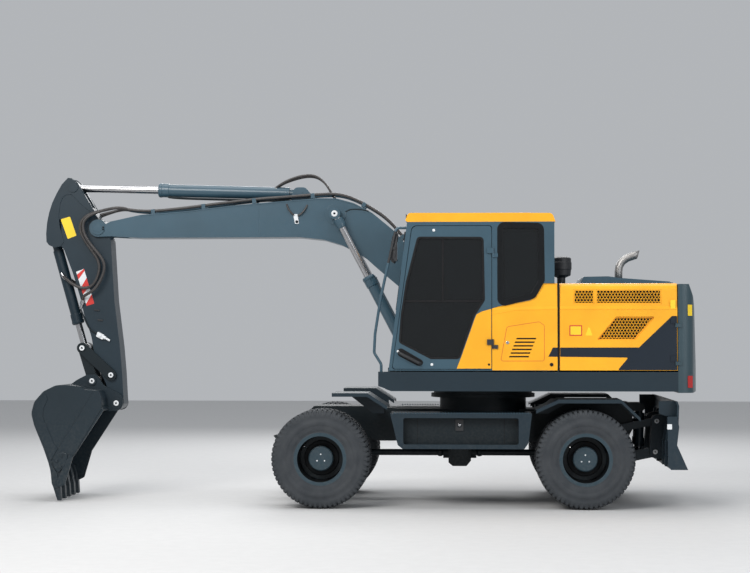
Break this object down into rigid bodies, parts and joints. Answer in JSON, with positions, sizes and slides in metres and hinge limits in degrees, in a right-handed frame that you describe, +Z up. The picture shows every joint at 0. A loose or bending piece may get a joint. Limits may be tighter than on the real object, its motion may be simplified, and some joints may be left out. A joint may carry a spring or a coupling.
{
  "type": "wheeled excavator",
  "caption": "Wheeled excavator on twin tyres with rear dozer blade, slewing cab and engine bay, boom, arm and bucket with working linkage.",
  "frame": {"origin": "on the ground under the middle of the overall length, on the centre plane", "axes": "+X forward, +Y to the operator's left, +Z up"},
  "size_m": [7.2896, 2.5014, 3.596],
  "materials": {
    "body_paint": "satin teal-grey machine paint",
    "frame_paint": "dull dark blue-grey chassis paint",
    "yellow_paint": "glossy warm yellow paint",
    "cast_body_paint": "painted casting",
    "grille_paint": "charcoal perforated sheet",
    "rim_paint": "satin wheel paint",
    "tyre_rubber": "dusty rubber",
    "rod_chrome": "bright hard chrome",
    "exhaust_steel": "heat-dulled steel",
    "engine_block": "plain cast housing",
    "black_plastic": "moulded black plastic",
    "seat_fabric": "woven dark cloth",
    "glass": "tinted safety glass"
  },
  "bodies": {
    "undercarriage": {"chassis": "frame_paint", "slew_ring": "frame_paint", "step_boxes": "body_paint", "fenders": "body_paint", "front_axle": "frame_paint", "rear_axle": "frame_paint", "driveline": "frame_paint"},
    "knuckle_left": {"knuckle_left": "frame_paint"},
    "knuckle_right": {"knuckle_right": "frame_paint"},
    "steering_rod": {"steering_rod": "rod_chrome"},
    "wheel_front_left": {"tyres_front_left": "tyre_rubber", "rim_front_left": "rim_paint"},
    "wheel_front_right": {"tyres_front_right": "tyre_rubber", "rim_front_right": "rim_paint"},
    "wheel_rear_left": {"tyres_rear_left": "tyre_rubber", "rim_rear_left": "rim_paint"},
    "wheel_rear_right": {"tyres_rear_right": "tyre_rubber", "rim_rear_right": "rim_paint"},
    "blade": {"blade": "body_paint"},
    "blade_arms": {"blade_arms": "body_paint"},
    "blade_links": {"blade_links": "body_paint"},
    "blade_barrels": {"blade_barrels": "body_paint"},
    "blade_rods": {"blade_rods": "rod_chrome"},
    "upper": {"deck": "body_paint", "counterweight": "cast_body_paint", "engine": "engine_block", "bay_frame": "body_paint", "side_panels": "yellow_paint", "exhaust": "exhaust_steel", "pre_cleaner": "black_plastic", "tanks": "body_paint", "cab_shell": "body_paint", "cab_glass": "glass", "cab_roof": "yellow_paint", "seat": "seat_fabric", "controls": "black_plastic", "handrails": "body_paint"},
    "engine_door_left": {"engine_door_left": "yellow_paint", "grilles_left": "grille_paint"},
    "engine_door_right": {"engine_door_right": "yellow_paint", "grilles_right": "grille_paint"},
    "hood": {"hood": "body_paint"},
    "cab_door": {"cab_door": "body_paint", "door_glass": "glass"},
    "boom": {"boom": "body_paint"},
    "boom_barrels": {"boom_barrels": "body_paint"},
    "boom_rods": {"boom_rods": "rod_chrome"},
    "arm": {"arm": "body_paint"},
    "arm_barrel": {"arm_barrel": "body_paint"},
    "arm_rod": {"arm_rod": "rod_chrome"},
    "bucket_barrel": {"bucket_barrel": "body_paint"},
    "bucket_rod": {"bucket_rod": "rod_chrome"},
    "rocker": {"rocker": "frame_paint"},
    "link": {"link": "frame_paint"},
    "bucket": {"bucket": "frame_paint"}
  },
  "joints": [
    {"name": "steer_left", "type": "hinge", "parent": "undercarriage", "child": "knuckle_left", "pos_m": [0.38514, 0.62, 0.525], "axis": [0, 0, 1], "range_deg": [-20, 20]},
    {"name": "steer_right", "type": "hinge", "parent": "undercarriage", "child": "knuckle_right", "pos_m": [0.38514, -0.62, 0.525], "axis": [0, 0, 1], "range_deg": [-20, 20]},
    {"name": "steering_rod_slide", "type": "slide", "parent": "undercarriage", "child": "steering_rod", "axis": [0, 1, 0], "range_m": [-0.073, 0.073]},
    {"name": "wheel_front_left_spin", "type": "hinge", "parent": "knuckle_left", "child": "wheel_front_left", "pos_m": [0.38514, 0.953, 0.525], "axis": [0, 1, 0], "continuous": true},
    {"name": "wheel_front_right_spin", "type": "hinge", "parent": "knuckle_right", "child": "wheel_front_right", "pos_m": [0.38514, -0.953, 0.525], "axis": [0, 1, 0], "continuous": true},
    {"name": "wheel_rear_left_spin", "type": "hinge", "parent": "undercarriage", "child": "wheel_rear_left", "pos_m": [-2.41486, 0.953, 0.525], "axis": [0, 1, 0], "continuous": true},
    {"name": "wheel_rear_right_spin", "type": "hinge", "parent": "undercarriage", "child": "wheel_rear_right", "pos_m": [-2.41486, -0.953, 0.525], "axis": [0, 1, 0], "continuous": true},
    {"name": "blade_lift", "type": "hinge", "parent": "undercarriage", "child": "blade_arms", "pos_m": [-2.69486, 0, 0.45], "axis": [0, 1, 0], "range_deg": [-47, 0]},
    {"name": "blade_links_swing", "type": "hinge", "parent": "undercarriage", "child": "blade_links", "pos_m": [-2.71186, 0, 0.786], "axis": [0, 1, 0], "range_deg": [-47, 0]},
    {"name": "blade_level", "type": "hinge", "parent": "blade_arms", "child": "blade", "pos_m": [-3.22286, 0, 0.561], "axis": [0, 1, 0], "range_deg": [0, 47]},
    {"name": "blade_barrels_swing", "type": "hinge", "parent": "undercarriage", "child": "blade_barrels", "pos_m": [-3.08486, 0, 1.04], "axis": [0, 1, 0], "range_deg": [-4.55, 0.5]},
    {"name": "blade_rods_slide", "type": "slide", "parent": "blade_barrels", "child": "blade_rods", "axis": [0.0377, 0, -0.9993], "range_m": [0, 0.2957]},
    {"name": "swing", "type": "hinge", "parent": "undercarriage", "child": "upper", "pos_m": [-1.34486, 0, 1.22], "axis": [0, 0, 1], "continuous": true},
    {"name": "cab_door_swing", "type": "hinge", "parent": "upper", "child": "cab_door", "pos_m": [-1.44286, 1.24, 2.2], "axis": [0, 0, 1], "range_deg": [0, 160]},
    {"name": "engine_door_left_swing", "type": "hinge", "parent": "upper", "child": "engine_door_left", "pos_m": [-3.35786, 1.24, 1.9], "axis": [0, 0, 1], "range_deg": [0, 100]},
    {"name": "engine_door_right_swing", "type": "hinge", "parent": "upper", "child": "engine_door_right", "pos_m": [-3.35786, -1.24, 1.9], "axis": [0, 0, -1], "range_deg": [0, 100]},
    {"name": "hood_lift", "type": "hinge", "parent": "upper", "child": "hood", "pos_m": [-3.37486, 0, 2.396], "axis": [0, -1, 0], "range_deg": [0, 50]},
    {"name": "boom_lift", "type": "hinge", "parent": "upper", "child": "boom", "pos_m": [-1.17486, 0, 1.9], "axis": [0, -1, 0], "range_deg": [-42, 40]},
    {"name": "boom_barrels_swing", "type": "hinge", "parent": "upper", "child": "boom_barrels", "pos_m": [-0.58486, 0, 1.5], "axis": [0, -1, 0], "range_deg": [-41.83, 39.85]},
    {"name": "boom_rods_slide", "type": "slide", "parent": "boom_barrels", "child": "boom_rods", "axis": [0.4635, 0, 0.8861], "range_m": [-0.4958, 0.4722]},
    {"name": "arm_swing", "type": "hinge", "parent": "boom", "child": "arm", "pos_m": [2.97914, 0, 3.04], "axis": [0, 1, 0], "range_deg": [-75, 35]},
    {"name": "arm_barrel_swing", "type": "hinge", "parent": "boom", "child": "arm_barrel", "pos_m": [0.71114, 0, 3.43], "axis": [0, 1, 0], "range_deg": [-2.55, 1.24]},
    {"name": "arm_rod_slide", "type": "slide", "parent": "arm_barrel", "child": "arm_rod", "axis": [0.9996, 0, 0.0285], "range_m": [-0.6575, 0.3074]},
    {"name": "bucket_curl", "type": "hinge", "parent": "arm", "child": "bucket", "pos_m": [2.76114, 0, 1.074], "axis": [0, 1, 0], "range_deg": [0, 145]},
    {"name": "rocker_swing", "type": "hinge", "parent": "arm", "child": "rocker", "pos_m": [2.82414, 0, 1.388], "axis": [0, 1, 0], "range_deg": [0, 114]},
    {"name": "link_swing", "type": "hinge", "parent": "rocker", "child": "link", "pos_m": [3.15214, 0, 1.691], "axis": [0, 1, 0], "range_deg": [-82.5, 0]},
    {"name": "bucket_barrel_swing", "type": "hinge", "parent": "arm", "child": "bucket_barrel", "pos_m": [3.50014, 0, 2.915], "axis": [0, 1, 0], "range_deg": [-3, 0]},
    {"name": "bucket_rod_slide", "type": "slide", "parent": "bucket_barrel", "child": "bucket_rod", "axis": [-0.2735, 0, -0.9619], "range_m": [0, 0.726]}
  ],
  "couplings": [
    {"joint": "steer_right", "follows": "steer_left", "ratio": 1},
    {"joint": "steering_rod_slide", "follows": "steer_left", "m_per_rad": 0.205},
    {"joint": "blade_links_swing", "follows": "blade_lift", "ratio": 1},
    {"joint": "blade_level", "follows": "blade_lift", "ratio": -1},
    {"joint": "blade_barrels_swing", "follows": "blade_lift", "ratio": 0.09274},
    {"joint": "blade_rods_slide", "follows": "blade_lift", "m_per_rad": -0.35924},
    {"joint": "boom_barrels_swing", "follows": "boom_lift", "ratio": 0.98876},
    {"joint": "boom_rods_slide", "follows": "boom_lift", "m_per_rad": 0.67497},
    {"joint": "arm_barrel_swing", "follows": "arm_swing", "ratio": 0.03268},
    {"joint": "arm_rod_slide", "follows": "arm_swing", "m_per_rad": 0.50151},
    {"joint": "rocker_swing", "follows": "bucket_curl", "ratio": 0.784},
    {"joint": "link_swing", "follows": "bucket_curl", "ratio": -0.566},
    {"joint": "bucket_barrel_swing", "follows": "bucket_curl", "ratio": -0.02},
    {"joint": "bucket_rod_slide", "follows": "bucket_curl", "m_per_rad": 0.28648}
  ]
}
